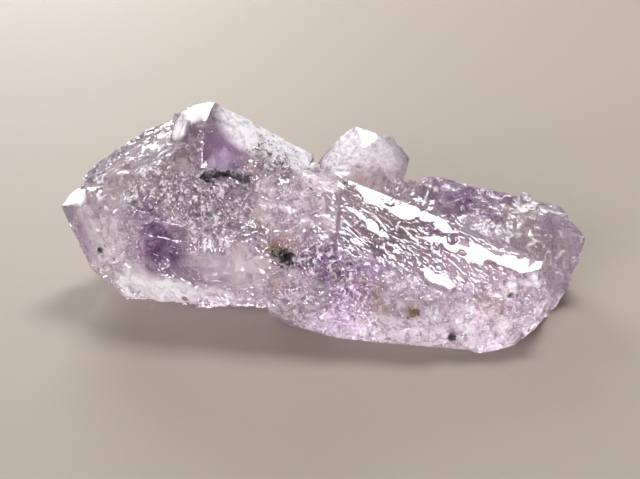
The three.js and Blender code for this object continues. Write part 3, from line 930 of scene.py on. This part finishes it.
def amethyst_material():
    """Clear to milky quartz: lilac, with violet, grey and brown patches, and frost on broken faces."""
    nodes = Nodes(bpy.data.materials.new("amethyst"))
    place = nodes.place()
    smooth = nodes.share("smooth")
    drift = nodes.centred(nodes.noise(place, DRIFT_SIZE, 4, 0.6, "Color"))
    veins = nodes.noise(nodes.strayed(place, drift, 3.4), VEIN_SIZE, 5, 0.65)
    veils = nodes.step(nodes.noise(nodes.strayed(place, drift, 2), VEIL_SIZE, 6, 0.75), 0.4, 0.58, 0.5, 1)
    # The white faces: frost, with painted highlights and painted glow, carried on with the milky share.
    white = nodes.times(nodes.share("white"), nodes.step(veins, 0.35, 0.6, 0.5, 1))
    milky = nodes.most(nodes.times(nodes.share("milky"), veils), white)
    highlights_and_crumbs, sunk, dark = surface_marks(nodes, place, drift, veins)
    even = nodes.most(nodes.step(veins, 0.4, 0.56, 0.3, 1), nodes.times(smooth, smooth))
    milky_and_painted_glow = nodes.times(nodes.share("glow"), even)

    colour = stone_tint(nodes, place, veins, milky)
    # Painted glow: the glowing zones painted whiter.
    colour = nodes.mix(nodes.times(milky_and_painted_glow, 0.55), colour, SNOW)
    colour = nodes.mix(sunk, colour, SHADED)
    # Painted highlights on corners and steps, and white crumbs, painted white.
    colour = nodes.mix(highlights_and_crumbs, colour, SNOW)
    # Dark earth, and painted shade in the creases, painted near black.
    colour = nodes.mix(dark, colour, EARTH_AND_SHADE)

    bare = nodes.less(1.0, nodes.most(smooth, growth_mask(nodes, place)))
    frost = nodes.times(nodes.step(veins, 0.5, 0.68, 0, 0.7), bare)
    frost = nodes.most(frost, nodes.times(milky, 0.8))
    cloud = nodes.most(nodes.most(frost, milky_and_painted_glow), highlights_and_crumbs)
    clear = nodes.times(nodes.step(cloud, 0, 1, CLEAR, CLOUDED), nodes.step(milky, 0, 1, 1.0, 0.4))
    clear = nodes.times(clear, nodes.step(dark, 0.1, 0.7, 1.0, 0.05))
    satin = nodes.times(nodes.share("satin"), SATIN_ROUGHNESS)

    shader = nodes.inputs("Principled BSDF")
    nodes.set(shader["Base Color"], colour)
    nodes.set(shader["Roughness"], nodes.most(nodes.step(frost, 0, 1, POLISHED, FROSTED), satin))
    nodes.set(shader["Transmission Weight"], clear)
    nodes.set(shader["Normal"], surface_way(nodes, place, bare))
    nodes.set(shader["IOR"], QUARTZ_IOR)
    nodes.set(shader["Subsurface Weight"], 1.0)
    nodes.set(shader["Subsurface Radius"], (1.0, 1.0, 1.0))
    nodes.set(shader["Subsurface Scale"], GLOW_DEPTH * MM)
    absorbing = nodes.add("ShaderNodeVolumeAbsorption", {"Color": ABSORBED, "Density": ABSORPTION})
    nodes.set(nodes.inputs("Material Output")["Volume"], absorbing)
    return nodes.owner


def grain_material():
    nodes = Nodes(bpy.data.materials.new("mineral_grains"))
    tint = nodes.add("ShaderNodeAttribute", attribute_name="tint")
    speckle = nodes.noise(nodes.place(), GRAIN_MARK_SIZE, 3)
    shader = nodes.inputs("Principled BSDF")
    nodes.set(shader["Base Color"], nodes.mix(nodes.step(speckle, 0.3, 0.8, 0, 0.3), tint, DUST))
    nodes.set(shader["Roughness"], nodes.step(speckle, 0.3, 0.7, 0.35, 0.8))
    return nodes.owner


def floor_material():
    nodes = Nodes(bpy.data.materials.new("floor"))
    shader = nodes.inputs("Principled BSDF")
    nodes.set(shader["Base Color"], FLOOR_COLOUR)
    nodes.set(shader["Roughness"], FLOOR_ROUGHNESS)
    return nodes.owner


# The stage.
def lamp(name, centre, size, power):
    light = bpy.data.lights.new(name, "AREA")
    light.shape = "DISK"
    light.size = size * MM
    light.energy = power
    thing = linked(name, light)
    thing.location = centre * MM
    thing.rotation_euler = (LAMPS_AIM - centre).to_track_quat("-Z", "Y").to_euler()


def stage():
    reach = FLOOR_REACH * MM
    depth = -FLOOR_DEPTH * MM
    mesh = bpy.data.meshes.new("floor")
    square = [(x * reach, y * reach, depth) for x, y in ((-1, -1), (1, -1), (1, 1), (-1, 1))]
    mesh.from_pydata(square, [], [(0, 1, 2, 3)])
    floor = linked("floor", mesh)
    mesh.materials.append(floor_material())
    lamp("key", LAMPS_AIM + KEY_DIRECTION * KEY_DISTANCE, KEY_SIZE, KEY_POWER)
    lamp("fill", FILL_FROM, FILL_SIZE, FILL_POWER)
    lamp("back", BACK_FROM, BACK_SIZE, BACK_POWER)
    bpy.context.scene.world = room()
    bpy.context.scene.view_settings.view_transform = "Standard"


def room():
    """A dim room that brightens towards a large window above and behind the stone."""
    nodes = Nodes(bpy.data.worlds.new("room"))
    towards = nodes.dot(nodes.add("ShaderNodeTexCoord", output="Generated"), ROOM_BRIGHT_FROM)
    colour = nodes.mix(nodes.step(towards, *ROOM_EDGE), ROOM_DIM, ROOM_BRIGHT)
    nodes.set(nodes.inputs("Background")["Color"], colour)
    return nodes.owner


def camera(sight):
    lens = bpy.data.cameras.new("camera")
    lens.lens = LENS
    lens.sensor_width = SENSOR
    lens.clip_start = 0.001
    thing = linked("camera", lens)
    thing.location = sight.eye * MM
    thing.rotation_euler = (math.pi / 2 - CAMERA_ELEVATION, 0, 0)
    bpy.context.scene.camera = thing


def main():
    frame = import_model()
    solid = frame["nodes"][NODE]
    sight = Sight(solid.data)
    camera(sight)
    stage()
    stone = fine_surface(solid, sight)
    stone.data.materials.append(amethyst_material())
    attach(stone, "root")
    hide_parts(NODE)
    specks = grains(stone, sight)
    specks.data.materials.append(grain_material())
    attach(specks, "root")
    print("triangles", len(stone.data.polygons), len(specks.data.polygons))


main()
